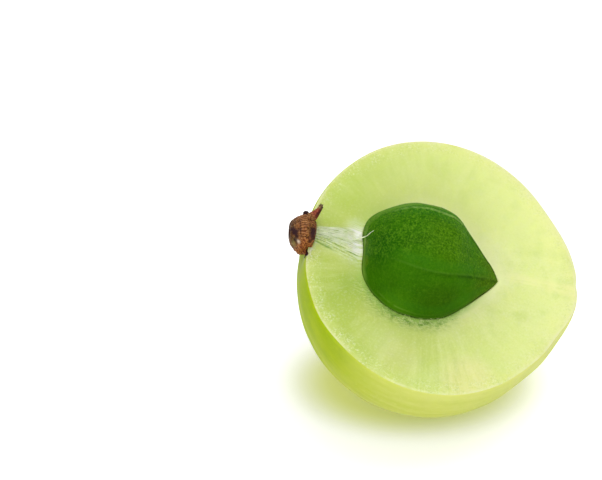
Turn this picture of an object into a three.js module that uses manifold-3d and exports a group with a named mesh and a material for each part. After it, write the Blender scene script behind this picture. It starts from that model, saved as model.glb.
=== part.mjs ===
// Half an Indian gooseberry (amla), cut lengthwise beside its stalk, with the whole stone still seated
// in the flesh, the stalk fibres that feed it and the dry calyx at the stalk end.
//
// Millimetres, +Z up. The half lies on a small flat spot on its skin, whose centre is the origin.
// Every piece is built in the fruit's own frame: +X runs from the stalk end to the apex, +Z points out
// of the cut face, and the origin is the middle of the whole fruit. The last section lays it down.

import * as THREE from "three";
import { mergeVertices } from "three/addons/utils/BufferGeometryUtils.js";
import Module from "manifold-3d";

const wasm = await Module();
wasm.setup();

// ---------------------------------------------------------------- driving dimensions

// Distance from the middle of the fruit to its skin, every 20 degrees from the apex to the stalk end.
const SKIN_RADII = [15.3, 14.95, 14.55, 15.0, 15.5, 15.7, 15.55, 15.2, 15.1, 15.3];
const BELLY = 0.35; // how much deeper the fruit is under the cut than its radii say
const FRUIT_SIDES = 72;
const FRUIT_RINGS = 48;
const FURROWS = 6;
const FURROW_DEPTH = 0.16;
const FURROW_WIDTH = 0.13; // radians round the axis
const STALK_DIMPLE_DEPTH = 1.1;
const STALK_DIMPLE_SPREAD = 0.17; // sine of the angle off the axis
const APEX_DIMPLE_DEPTH = 0.3;
const APEX_DIMPLE_SPREAD = 0.06;

const CUT_HEIGHT = 1.5; // the knife passed this far above the fruit's axis
const BLOCK_SIZE = 60; // of the blocks that cut the fruit, larger than the fruit
const CLEARANCE = 0.3; // gap between the pieces, which only touch in the grown fruit

// Half-width of the stone along its length, from its blunt base to its tip.
const STONE_BASE_X = -8.6;
const STONE_TIP_X = 6.3;
const STONE_PROFILE = [
  [-8.6, 0],
  [-8.45, 1.8],
  [-7.8, 3.6],
  [-6.6, 5.15],
  [-4.8, 6.25],
  [-2.9, 6.6],
  [-1.0, 6.5],
  [0.8, 5.85],
  [2.7, 4.25],
  [4.6, 2.2],
  [5.8, 0.8],
  [6.3, 0],
];
const STONE_CENTRE_Y = -0.25;
const STONE_SIDES = 48;
const STONE_RINGS = 28;
const STONE_RIBS = 6;
const RIB_HEIGHT = 0.035; // of the half-width

const CALYX_CENTRE = new THREE.Vector3(-13.95, 0.45, 0.9);
// Radius and height of the calyx cup, from the middle of its base to the stalk scar on top.
const CALYX_PROFILE = [
  [0, 0],
  [1.2, 0],
  [1.95, 0.3],
  [2.3, 0.85],
  [2.25, 1.45],
  [1.85, 2.05],
  [1.3, 2.5],
  [0.9, 2.75],
  [0.7, 2.6],
  [0, 2.5],
];
const CALYX_SIDES = 36;
const CALYX_FOLDS = 6;
const FOLD_DEPTH = 0.08; // of the radius
const FOLD_HEIGHT = 1.3; // where up the cup the folds are deepest
// One of the short dry sepals round the cup, as height up the cup and distance from its axis.
const SEPAL = [
  [1.1, 1.5],
  [0.8, 2.2],
  [0.9, 2.6],
];
const SEPAL_CURL = 0.35; // every other sepal's tip lies this much higher
const SEPAL_RADIUS = [0.48, 0.06]; // at its foot and at its tip
// The one sepal that has curled back over the cut face, as steps from the middle of the cup's base.
const LONG_SEPAL = [
  [-0.9, 1.1, 0.9],
  [-0.6, 1.9, 1.4],
  [-0.1, 2.6, 1.7],
  [0.2, 3.4, 1.9],
];
const LONG_SEPAL_RADIUS = [0.55, 0.22];
const THIN_SIDES = 8; // of a sepal or a fibre
const THIN_STEPS = 7;

const FIBRES = 7;
const FIBRE_RADIUS = 0.4;
const FIBRE_START_X = -13.3;
const FIBRE_END_X = -9.05;
const FIBRE_END_LAG = 1.1; // how much further the outer fibres reach along the stone's round base
const FIBRE_LIFT = 0.15; // they lie this far above or below the cut face
const FIBRE_START_SPREAD = 1.1; // across the whole bundle, at the calyx
const FIBRE_END_SPREAD = 4.6; // and where it meets the stone
const FIBRE_MIDDLE_Y = 0.1;

const FACE_PITCH = 15.5; // degrees: the apex dips
const FACE_ROLL = 19.4; // degrees: the cut face turns towards -Y
const FLAT_SPOT_DEPTH = 0.5; // how far the skin is pressed flat where the half rests

// ---------------------------------------------------------------- geometry and solids

// A solid from a three.js geometry, with its shared vertices merged.
function solid(geometry) {
  const bare = geometry.clone();
  bare.deleteAttribute("normal");
  bare.deleteAttribute("uv");
  const merged = mergeVertices(bare, 1e-4);
  return new wasm.Manifold(
    new wasm.Mesh({
      numProp: 3,
      vertProperties: merged.attributes.position.array,
      triVerts: new Uint32Array(merged.index.array),
    }),
  );
}

function geometryOf(manifold) {
  const { vertProperties, triVerts } = manifold.getMesh();
  const geometry = new THREE.BufferGeometry();
  geometry.setAttribute("position", new THREE.BufferAttribute(vertProperties, 3));
  geometry.setIndex(new THREE.BufferAttribute(triVerts, 1));
  return geometry.toNonIndexed();
}

function join(solids) {
  return solids.reduce((whole, next) => whole.add(next));
}

// Moves every vertex of a geometry to where place(vertex) puts it.
function reshape(geometry, place) {
  const position = geometry.attributes.position;
  const vertex = new THREE.Vector3();
  for (let i = 0; i < position.count; i++) {
    vertex.fromBufferAttribute(position, i);
    const moved = place(vertex);
    position.setXYZ(i, moved.x, moved.y, moved.z);
  }
  return geometry;
}

// A solid round rod through the given points, from one radius to another.
function rod(points, [startRadius, endRadius]) {
  const curve = new THREE.CatmullRomCurve3(points.map((p) => new THREE.Vector3(...p)));
  const frames = curve.computeFrenetFrames(THIN_STEPS);
  const place = (vertex) => {
    const step = Math.round((vertex.y + 0.5) * THIN_STEPS);
    const radius = THREE.MathUtils.lerp(startRadius, endRadius, step / THIN_STEPS);
    return curve
      .getPointAt(step / THIN_STEPS)
      .addScaledVector(frames.normals[step], vertex.x * radius)
      .addScaledVector(frames.binormals[step], -vertex.z * radius);
  };
  return solid(reshape(new THREE.CylinderGeometry(1, 1, 1, THIN_SIDES, THIN_STEPS), place));
}

// A bump of height 1 at 0 that fades over the given width.
function bump(distance, width) {
  return Math.exp(-((distance / width) ** 2));
}

// Angle from the middle of the nearest of a number of equal sectors.
function fromNearest(angle, count) {
  const sector = (2 * Math.PI) / count;
  return angle - sector * Math.round(angle / sector);
}

// ---------------------------------------------------------------- the fruit

// The skin radii, mirrored past both ends so that the curve crosses the axis square.
const skinCurve = new THREE.SplineCurve(
  [SKIN_RADII[1], ...SKIN_RADII, SKIN_RADII.at(-2)].map((r, i) => new THREE.Vector2(i, r)),
);

function skinRadius(direction) {
  const fromApex = Math.acos(THREE.MathUtils.clamp(direction.x, -1, 1));
  const offAxis = Math.hypot(direction.y, direction.z);
  const roundAxis = Math.atan2(direction.y, direction.z);
  const spans = SKIN_RADII.length - 1;
  const smooth = skinCurve.getPoint((1 + (fromApex / Math.PI) * spans) / (spans + 2)).y;
  const furrow = bump(fromNearest(roundAxis, FURROWS), FURROW_WIDTH) * offAxis;
  const dimple =
    direction.x < 0
      ? STALK_DIMPLE_DEPTH * bump(offAxis, STALK_DIMPLE_SPREAD)
      : APEX_DIMPLE_DEPTH * bump(offAxis, APEX_DIMPLE_SPREAD);
  const belly = BELLY * Math.max(0, -direction.z) ** 2;
  return smooth + belly - FURROW_DEPTH * furrow - dimple;
}

function wholeFruit() {
  const ball = new THREE.SphereGeometry(1, FRUIT_SIDES, FRUIT_RINGS).rotateZ(-Math.PI / 2);
  return solid(reshape(ball, (v) => v.clone().normalize().multiplyScalar(skinRadius(v.normalize()))));
}

// Everything above the knife's cut.
function aboveCut() {
  const block = new THREE.BoxGeometry(BLOCK_SIZE, BLOCK_SIZE, BLOCK_SIZE);
  return solid(block.translate(0, 0, CUT_HEIGHT + BLOCK_SIZE / 2));
}

// Everything below the surface that the laid fruit rests on, in the fruit's own frame.
function belowTable(rest) {
  const block = new THREE.BoxGeometry(BLOCK_SIZE, BLOCK_SIZE, BLOCK_SIZE);
  return solid(block.translate(0, 0, -BLOCK_SIZE / 2).applyMatrix4(rest.clone().invert()));
}

// ---------------------------------------------------------------- the stone

const stoneOutline = new THREE.SplineCurve(
  STONE_PROFILE.map(([x, half]) => new THREE.Vector2(x, half)),
);

// grown is how much larger than the stone it is all round, for the socket that the stone sits in.
function stone(grown = 0) {
  const length = STONE_TIP_X - STONE_BASE_X;
  const stretch = (length + 2 * grown) / length;
  const middle = (STONE_TIP_X + STONE_BASE_X) / 2;
  const tube = new THREE.SphereGeometry(1, STONE_SIDES, STONE_RINGS).rotateZ(-Math.PI / 2);
  const place = (vertex) => {
    const along = 1 - Math.acos(THREE.MathUtils.clamp(vertex.x, -1, 1)) / Math.PI;
    const { x, y: half } = stoneOutline.getPoint(along);
    const round = Math.atan2(vertex.y, vertex.z);
    const rib = Math.abs(Math.cos((STONE_RIBS / 2) * round)) ** 4;
    const offAxis = Math.hypot(vertex.y, vertex.z);
    const radius = offAxis < 1e-6 ? 0 : Math.max(half, 0) * (1 - RIB_HEIGHT * rib) + grown;
    return new THREE.Vector3(
      middle + (x - middle) * stretch,
      STONE_CENTRE_Y + radius * Math.sin(round),
      CUT_HEIGHT + radius * Math.cos(round),
    );
  };
  return solid(reshape(tube, place));
}

// ---------------------------------------------------------------- the calyx

// The cup stands on the stalk end, and its own axis points away from the fruit, along -X.
function calyxCup(grown = 0) {
  const profile = CALYX_PROFILE.map(
    ([radius, height]) =>
      new THREE.Vector2(
        radius === 0 ? 0 : radius + grown,
        height + (height < 1 ? -grown : grown),
      ),
  );
  const lathe = new THREE.LatheGeometry(profile, CALYX_SIDES);
  const crease = (vertex) => {
    const round = Math.atan2(vertex.z, vertex.x);
    const fold = Math.abs(Math.sin((CALYX_FOLDS / 2) * round));
    const depth = FOLD_DEPTH * fold * bump(vertex.y - FOLD_HEIGHT, 1);
    return new THREE.Vector3(vertex.x * (1 - depth), vertex.y, vertex.z * (1 - depth));
  };
  return solid(reshape(lathe, crease).rotateZ(Math.PI / 2));
}

function sepal(index) {
  const round = (index * 2 * Math.PI) / CALYX_FOLDS;
  const points = SEPAL.map(([height, out], i) => {
    const curl = i === SEPAL.length - 1 ? SEPAL_CURL * (index % 2) : 0;
    return [-height - curl, out * Math.cos(round), out * Math.sin(round)];
  });
  return rod(points, SEPAL_RADIUS);
}

// The long sepal stands in the place of the first short one.
function calyx() {
  const sepals = Array.from({ length: CALYX_FOLDS - 1 }, (_, i) => sepal(i + 1));
  const parts = [calyxCup(), rod(LONG_SEPAL, LONG_SEPAL_RADIUS), ...sepals];
  return join(parts).translate(CALYX_CENTRE.toArray());
}

// ---------------------------------------------------------------- the stalk fibres

// The bundle lies in the cut face from the calyx to the base of the stone, and fans out on the way.
function fibreSpread(along) {
  return THREE.MathUtils.lerp(FIBRE_START_SPREAD, FIBRE_END_SPREAD, along ** 2);
}

function fibreStrand() {
  const fibre = (index) => {
    const across = index / (FIBRES - 1) - 0.5;
    const endX = FIBRE_END_X + FIBRE_END_LAG * (2 * across) ** 2;
    const point = (along) => [
      THREE.MathUtils.lerp(FIBRE_START_X, endX, along),
      FIBRE_MIDDLE_Y * (1 - along) + across * fibreSpread(along),
      CUT_HEIGHT + FIBRE_LIFT * Math.cos(index * 2.1),
    ];
    return rod([0, 0.3, 0.65, 1].map(point), [FIBRE_RADIUS, FIBRE_RADIUS]);
  };
  return join(Array.from({ length: FIBRES }, (_, index) => fibre(index)));
}

// The shallow fan-shaped channel in the cut face that the bundle lies in.
function fibreChannel() {
  const side = (along, sign) => [
    THREE.MathUtils.lerp(FIBRE_START_X - 1, FIBRE_END_X + FIBRE_END_LAG, along),
    FIBRE_MIDDLE_Y * (1 - along) + sign * (fibreSpread(along) / 2 + FIBRE_RADIUS + CLEARANCE),
  ];
  const steps = [0, 0.25, 0.5, 0.75, 1];
  const outline = [...steps.map((t) => side(t, -1)), ...steps.toReversed().map((t) => side(t, 1))];
  const shape = new THREE.Shape(outline.map(([x, y]) => new THREE.Vector2(x, y)));
  const depth = FIBRE_LIFT + FIBRE_RADIUS + CLEARANCE;
  const slab = new THREE.ExtrudeGeometry(shape, { depth: depth + 1, bevelEnabled: false });
  return solid(slab.translate(0, 0, CUT_HEIGHT - depth));
}

// ---------------------------------------------------------------- the half as it rests

// Turns the fruit as it lies, and sets its lowest skin FLAT_SPOT_DEPTH under the table at the origin.
function restingPlace(fruit) {
  const turn = new THREE.Matrix4()
    .makeRotationY(THREE.MathUtils.degToRad(FACE_PITCH))
    .multiply(new THREE.Matrix4().makeRotationX(THREE.MathUtils.degToRad(FACE_ROLL)));
  const skin = geometryOf(fruit).applyMatrix4(turn).attributes.position;
  const lowest = new THREE.Vector3(0, 0, Infinity);
  const vertex = new THREE.Vector3();
  for (let i = 0; i < skin.count; i++) {
    vertex.fromBufferAttribute(skin, i);
    if (vertex.z < lowest.z) lowest.copy(vertex);
  }
  const shift = new THREE.Matrix4().makeTranslation(-lowest.x, -lowest.y, -lowest.z - FLAT_SPOT_DEPTH);
  return shift.multiply(turn);
}

function named(name, shape, color, roughness) {
  const material = new THREE.MeshStandardMaterial({ color, roughness, metalness: 0 });
  const mesh = new THREE.Mesh(geometryOf(shape), material);
  mesh.name = name;
  return mesh;
}

const whole = wholeFruit();
const rest = restingPlace(whole);
const fruitHalf = whole
  .subtract(aboveCut())
  .subtract(belowTable(rest))
  .subtract(stone(CLEARANCE))
  .subtract(calyxCup(CLEARANCE).translate(CALYX_CENTRE.toArray()))
  .subtract(fibreChannel());
const seatedStone = stone();
const strand = fibreStrand().subtract(stone(CLEARANCE));

const half = new THREE.Group();
half.add(
  named("fruit_half", fruitHalf, 0xccdc70, 0.35),
  named("stone", seatedStone, 0x3d7410, 0.45),
  named("fibre_strand", strand, 0xe6f2d2, 0.6),
  named("calyx", calyx().subtract(fruitHalf), 0x7c4b2a, 0.75),
);
half.applyMatrix4(rest);

const fruit = new THREE.Group();
fruit.add(half);
export default fruit;
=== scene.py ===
"""Half an Indian gooseberry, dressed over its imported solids, for Blender 4.5.

Every piece is built in millimetres in the fruit's own frame, as the solids are: +X runs from the stalk
end to the apex, +Z points out of the cut face, and the origin is the middle of the whole fruit. TURN and
SHIFT then lay the pieces down in the row frame."""

import functools
from math import cos, pi, radians, sin, tan

import bpy
import numpy as np
from mathutils import Matrix, Vector, noise


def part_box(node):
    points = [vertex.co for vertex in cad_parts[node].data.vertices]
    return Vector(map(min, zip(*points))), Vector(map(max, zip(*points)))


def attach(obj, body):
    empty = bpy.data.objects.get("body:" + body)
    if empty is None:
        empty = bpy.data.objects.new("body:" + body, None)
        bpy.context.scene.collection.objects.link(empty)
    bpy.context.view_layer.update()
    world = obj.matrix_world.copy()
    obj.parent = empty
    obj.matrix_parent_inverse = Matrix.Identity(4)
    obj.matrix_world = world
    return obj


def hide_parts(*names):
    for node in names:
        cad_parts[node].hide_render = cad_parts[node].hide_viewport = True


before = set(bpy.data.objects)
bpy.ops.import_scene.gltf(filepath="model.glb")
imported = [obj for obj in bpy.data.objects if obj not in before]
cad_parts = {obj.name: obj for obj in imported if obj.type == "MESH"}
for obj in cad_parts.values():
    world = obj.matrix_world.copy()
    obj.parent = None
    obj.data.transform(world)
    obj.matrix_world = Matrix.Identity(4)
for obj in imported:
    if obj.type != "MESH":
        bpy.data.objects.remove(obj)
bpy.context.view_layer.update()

MM = 0.001
rng = np.random.default_rng(11)

# -------- the solids' driving dimensions, in mm

SKIN_RADII = np.array([15.3, 14.95, 14.55, 15.0, 15.5, 15.7, 15.55, 15.2, 15.1, 15.3])  # apex to stalk
MEAN_RADIUS = 15.0
BELLY = 0.35
FURROWS, FURROW_DEPTH, FURROW_WIDTH = 6, 0.16, 0.13
STALK_DIMPLE, STALK_DIMPLE_SPREAD = 1.1, 0.17
APEX_DIMPLE, APEX_DIMPLE_SPREAD = 0.3, 0.06
CUT_HEIGHT = 1.5
# Each point's x and distance from the stone's axis, from base to tip.
STONE_PROFILE = np.array(
    [(-8.6, 0), (-8.45, 1.8), (-7.8, 3.6), (-6.6, 5.15), (-4.8, 6.25), (-2.9, 6.6)]
    + [(-1.0, 6.5), (0.8, 5.85), (2.7, 4.25), (4.6, 2.2), (5.8, 0.8), (6.3, 0)]
)
STONE_Y = -0.25
STONE_RIBS, RIB_HEIGHT = 6, 0.035
CALYX_BASE = np.array([-13.95, 0.45, 0.9])
FACE_PITCH, FACE_ROLL = 15.5, 19.4  # degrees
FLAT_SPOT_EDGE = 0.05  # mm over which the skin bends into its flat spot

# -------- curves, noise and meshes


def rise(value, low, high):
    """0 below low, 1 above high, and an S-curve between."""
    t = np.clip((value - low) / (high - low), 0, 1)
    return t * t * (3 - 2 * t)


def bump(distance, width):
    return np.exp(-((distance / width) ** 2))


def spline(points, t):
    """The Catmull-Rom curve through points, at each t from 0 to 1. Points are evenly spaced in t."""
    points = np.asarray(points, float)
    last = len(points) - 1
    at = np.clip(np.asarray(t, float), 0, 1) * last
    first = np.minimum(np.floor(at).astype(int), last - 1)
    w = at - first
    if points.ndim > 1:
        w = w[..., None]
    p0, p1 = points[np.maximum(first - 1, 0)], points[first]
    p2, p3 = points[first + 1], points[np.minimum(first + 2, last)]
    v0, v1 = (p2 - p0) / 2, (p3 - p1) / 2
    return (2 * p1 - 2 * p2 + v0 + v1) * w**3 + (-3 * p1 + 3 * p2 - 2 * v0 - v1) * w**2 + v0 * w + p1


def rough(points, size, octaves=3):
    """Fractal noise, about -1 to 1, in forms of the given size in mm."""
    flat = (np.asarray(points, float) / size).reshape(-1, 3)
    values = [noise.fractal(Vector(p), 1.0, 2.0, octaves) for p in flat.tolist()]
    return np.array(values).reshape(np.shape(points)[:-1])


def unit(vectors):
    return vectors / np.linalg.norm(vectors, axis=-1, keepdims=True)


def full_turn(count):
    """count angles, evenly round a full turn."""
    return np.linspace(0, 2 * pi, count, endpoint=False)


def inner_steps(count):
    """count even steps from 0 to 1, without the two ends."""
    return np.linspace(0, 1, count + 2)[1:-1]


def wrapped(angle):
    """The same angle, from -pi to pi."""
    return np.mod(angle + pi, 2 * pi) - pi


def slerp(start, end, t):
    """Directions from start to end; t runs along the last axis but one."""
    angle = np.arccos(np.clip((start * end).sum(-1, keepdims=True), -1, 1))
    return (np.sin((1 - t) * angle) * start + np.sin(t * angle) * end) / np.sin(angle)


def closed_grid(rings, first, last):
    """Vertices and faces of a closed surface over rings of points, with one more point at each end."""
    count, sides = rings.shape[:2]
    vertices = np.vstack([[first], rings.reshape(-1, 3), [last]])
    ring = 1 + np.arange(count * sides).reshape(count, sides)
    after = np.roll(ring, -1, axis=1)
    quads = np.stack([ring[:-1], after[:-1], after[1:], ring[1:]], axis=-1).reshape(-1, 4)
    start = np.stack([np.zeros(sides, int), after[0], ring[0]], axis=-1)
    end = np.stack([np.full(sides, len(vertices) - 1), ring[-1], after[-1]], axis=-1)
    return vertices, quads.tolist() + start.tolist() + end.tolist()


def with_ends(values, first, last):
    """One value for each vertex of a closed_grid, from its rings' values and those of its end points."""
    return np.concatenate([[first], np.ravel(values), [last]])


def tube(points, radii, sides=6, section=None, twist=0.0):
    """A closed tube along points. section(t, turn) scales the radius round it, where t runs from 0 to 1
    along the tube and turn is the angle round it; twist turns the section, in radians end to end."""
    points = np.asarray(points, float)
    along = unit(np.gradient(points, axis=0))
    side = unit(np.cross(along, [0.13, 0.21, 1.0]))
    up = np.cross(side, along)
    t = np.linspace(0, 1, len(points))[:, None]
    turn = full_turn(sides)[None]
    radius = np.asarray(radii, float)[:, None] * (section(t, turn) if section else 1.0 + 0 * turn)
    across, over = np.cos(turn + t * twist), np.sin(turn + t * twist)
    ring = across[..., None] * side[:, None] + over[..., None] * up[:, None]
    rings = points[:, None] + ring * radius[..., None]
    ends = [points[i] + sign * along[i] * radii[i] * 0.5 for i, sign in ((0, -1), (-1, 1))]
    return closed_grid(rings, *ends)


def joined(parts):
    """One set of vertices and faces from several."""
    vertices, faces, start = [], [], 0
    for part_vertices, part_faces in parts:
        vertices.append(part_vertices)
        faces += [[i + start for i in face] for face in part_faces]
        start += len(part_vertices)
    return np.vstack(vertices), faces


def added(name, data):
    """A new object in the scene."""
    made = bpy.data.objects.new(name, data)
    bpy.context.collection.objects.link(made)
    return made


def piece(name, shape, materials, attributes=None, slot_of_face=None):
    """A smooth-shaded object from vertices in mm and faces, laid down with the fruit."""
    vertices, faces = shape
    mesh = bpy.data.meshes.new(name)
    mesh.from_pydata(((vertices @ TURN.T + SHIFT) * MM).tolist(), [], faces)
    place = mesh.attributes.new("fruit_place", "FLOAT_VECTOR", "POINT")
    place.data.foreach_set("vector", vertices.astype("f").ravel())
    for key, values in (attributes or {}).items():
        mesh.attributes.new(key, "FLOAT", "POINT").data.foreach_set("value", np.asarray(values, "f"))
    for material in materials:
        mesh.materials.append(material)
    if slot_of_face is not None:
        mesh.polygons.foreach_set("material_index", np.asarray(slot_of_face, "i"))
    mesh.shade_smooth()
    mesh.update()
    return added(name, mesh)


# -------- the fruit's surfaces

# Shallow flats and swellings that the solids leave out: a point on the skin, how deep and how wide.
FLATS = [
    ((13.7, -5.4, 0.8), 0.42, 2.4),
    ((15.0, 1.5, 1.4), 0.2, 0.7),
    ((-11.9, -7.1, -6.6), -0.26, 5.0),
    ((-11.6, -9.0, 1.5), -0.30, 3.2),
]


def skin_radius(direction):
    """From the middle of the fruit to its skin, as in the solids but for FLATS."""
    x, y, z = np.moveaxis(direction, -1, 0)
    from_apex = np.arccos(np.clip(x, -1, 1)) / pi
    off_axis = np.hypot(y, z)
    round_axis = np.arctan2(y, z)
    spans = len(SKIN_RADII) - 1
    mirrored = np.concatenate([SKIN_RADII[1:2], SKIN_RADII, SKIN_RADII[-2:-1]])
    smooth = spline(mirrored, (1 + from_apex * spans) / (spans + 2))
    sector = 2 * pi / FURROWS
    furrow = bump(round_axis - sector * np.round(round_axis / sector), FURROW_WIDTH) * off_axis
    stalk = STALK_DIMPLE * bump(off_axis, STALK_DIMPLE_SPREAD)
    apex = APEX_DIMPLE * bump(off_axis, APEX_DIMPLE_SPREAD)
    belly = BELLY * np.maximum(0, -z) ** 2
    radius = smooth + belly - FURROW_DEPTH * furrow - np.where(x < 0, stalk, apex)
    for point, depth, width in FLATS:
        away = np.linalg.norm(direction * np.linalg.norm(point) - point, axis=-1)
        radius = radius - depth * bump(away, width)
    return radius


def stone_point(along, round_axis, grown=0.0):
    """A point of the stone's surface: along runs from its base to its tip, and round_axis 0 is +Z."""
    x, half = np.moveaxis(spline(STONE_PROFILE, along), -1, 0)
    rib = np.abs(np.cos(STONE_RIBS / 2 * round_axis)) ** 4
    radius = np.maximum(half, 0) * (1 - RIB_HEIGHT * rib) + grown
    y = STONE_Y + radius * np.sin(round_axis)
    return np.stack([x, y, CUT_HEIGHT + radius * np.cos(round_axis)], axis=-1)


# What makes the real stone lopsided: a place on it, how far it is pushed and how wide the push is.
STONE_PUSHES = [
    ((-8.3, 2.4, 2.6), (-0.75, 0.35, 0.1), 2.6),
    ((2.5, 1.4, 5.6), (-0.24, -0.2, -0.36), 3.0),
    ((-8.95, 0.2, 2.4), (0.32, 0.0, 0.0), 1.8),
    ((-8.1, -3.3, 1.3), (-0.14, 0.0, 0.0), 1.4),
]


def pushed(points, sign=1.0):
    """Points of the solids' stone where the real one has them, or with sign -1 the way back."""
    moved = np.array(points, float)
    for place, push, width in STONE_PUSHES:
        near = bump(np.linalg.norm(points - np.array(place), axis=-1), width)
        moved = moved + sign * near[..., None] * np.array(push)
    return moved


pitch = Matrix.Rotation(radians(FACE_PITCH), 3, "Y")
roll = Matrix.Rotation(radians(FACE_ROLL), 3, "X")
TURN = np.array(pitch @ roll)
stone_along, stone_round = np.meshgrid(np.linspace(0, 1, 200), np.linspace(0, 2 * pi, 200))
turned_stone = stone_point(stone_along, stone_round).reshape(-1, 3) @ TURN.T
low, high = (np.array(corner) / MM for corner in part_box("stone"))
SHIFT = (low + high) / 2 - (turned_stone.min(0) + turned_stone.max(0)) / 2  # the fruit's middle, in mm
MINUS_Z = np.array([0.0, 0.0, -1.0])
DOWN = TURN.T @ MINUS_Z  # the row's downward direction, in the fruit's frame

# -------- materials


def srgb(red, green, blue):
    """A colour as a screen shows it, 0 to 255, as linear red, green, blue and alpha."""
    parts = np.array([red, green, blue]) / 255
    linear = np.where(parts <= 0.04045, parts / 12.92, ((parts + 0.055) / 1.055) ** 2.4)
    return (*linear.tolist(), 1.0)


class Nodes:
    """Short calls that add shader nodes to a new material or world and return their output sockets."""

    def __init__(self, owner):
        owner.use_nodes = True
        self.owner, self.tree = owner, owner.node_tree
        self.tree.nodes.clear()
        self.colour = None  # the paint so far: lay() and patch() go over it

    def add(self, kind, inputs=None, output=0, **settings):
        made = self.tree.nodes.new("ShaderNode" + kind)
        for key, value in settings.items():
            setattr(made, key, value)
        for socket, value in (inputs or {}).items():
            if isinstance(value, bpy.types.NodeSocket):
                self.tree.links.new(value, made.inputs[socket])
            else:
                made.inputs[socket].default_value = value
        return made.outputs[output] if made.outputs else None

    def attribute(self, name):
        return self.add("Attribute", output="Fac", attribute_name=name)

    def seen_directly(self):
        """1 for the camera's own rays and those that it sends on by reflection or through glass."""
        rays = self.tree.nodes.new("ShaderNodeLightPath").outputs
        direct = self.math("MAXIMUM", rays["Is Camera Ray"], rays["Is Glossy Ray"])
        return self.math("MAXIMUM", direct, rays["Is Transmission Ray"])

    def vector(self, operation, a, b=None, output=0, **more):
        inputs = {0: a, **({} if b is None else {1: b}), **more}
        return self.add("VectorMath", inputs, output=output, operation=operation)

    def distance(self, a, b):
        return self.vector("DISTANCE", a, b, output="Value")

    def combine(self, x, y, z):
        return self.add("CombineXYZ", {0: x, 1: y, 2: z})

    def split(self, vector):
        made = self.tree.nodes.new("ShaderNodeSeparateXYZ")
        self.tree.links.new(vector, made.inputs[0])
        return made.outputs

    def math(self, operation, a, b=0.0):
        return self.add("Math", {0: a, 1: b}, operation=operation)

    def plus(self, *values):
        return functools.reduce(lambda a, b: self.math("ADD", a, b), values)

    def times(self, *values):
        return functools.reduce(lambda a, b: self.math("MULTIPLY", a, b), values)

    def less(self, value):
        """1 - value."""
        return self.math("SUBTRACT", 1.0, value)

    def between(self, value, low, high):
        """low where value is 0, and high where it is 1."""
        return self.plus(self.times(value, high - low), low)

    def rise(self, value, low, high):
        inputs = {"Value": value, "From Min": low, "From Max": high}
        return self.add("MapRange", inputs, interpolation_type="SMOOTHSTEP")

    def fall(self, value, low, high):
        return self.less(self.rise(value, low, high))

    def near(self, value, middle, inner, outer):
        """1 up to inner away from middle, either way, and 0 from outer on."""
        return self.fall(self.math("ABSOLUTE", self.plus(value, -middle)), inner, outer)

    def noise(self, size, detail=3.0, roughness=0.55, at=None):
        inputs = {"Scale": 1 / size, "Detail": detail, "Roughness": roughness}
        return self.add("TexNoise", {"Vector": at or self.place, **inputs})

    def mix(self, amount, a, b):
        """From paint a to paint b. A paint is a socket, or three numbers for srgb()."""
        a, b = (srgb(*paint) if isinstance(paint, tuple) else paint for paint in (a, b))
        return self.add("Mix", {0: amount, 6: a, 7: b}, output=2, data_type="RGBA")

    def lay(self, paint, *amounts):
        """Puts paint over the colour so far, as strongly as the product of the amounts."""
        self.colour = self.mix(self.times(*amounts), self.colour, paint)

    def patch(self, at, inner, outer, amount, paint):
        """Lays a soft blotch round the point at: full inside the inner radius, gone at the outer one."""
        self.lay(paint, self.fall(self.distance(self.place, at), inner, outer), amount)

    def bump(self, height, distance, strength):
        """distance is in mm."""
        return self.add("Bump", {"Height": height, "Distance": distance * MM, "Strength": strength})

    def finish(self, **inputs):
        """A Principled surface in this colour, with these inputs, whose names have _ for a space."""
        named = {key.replace("_", " "): value for key, value in inputs.items()}
        surface = self.add("BsdfPrincipled", {"Base Color": self.colour, **named})
        self.add("OutputMaterial", {"Surface": surface})
        return self.owner


def new_nodes(name):
    """Nodes of a new material. Their place is the point in the fruit's own frame, in mm."""
    n = Nodes(bpy.data.materials.new(name))
    n.place = n.add("Attribute", output="Vector", attribute_name="fruit_place")
    return n


FLESH_INSIDE = 0.85  # the share of the light that goes into the flesh
FLESH_REACH = ((0.9, 1, 0.3), 4.5)


def inside(share, spread, scale):
    """Principled inputs for light that goes in: how much, and how far each colour gets, in scale mm."""
    return dict(Subsurface_Weight=share, Subsurface_Radius=spread, Subsurface_Scale=scale * MM)


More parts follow.
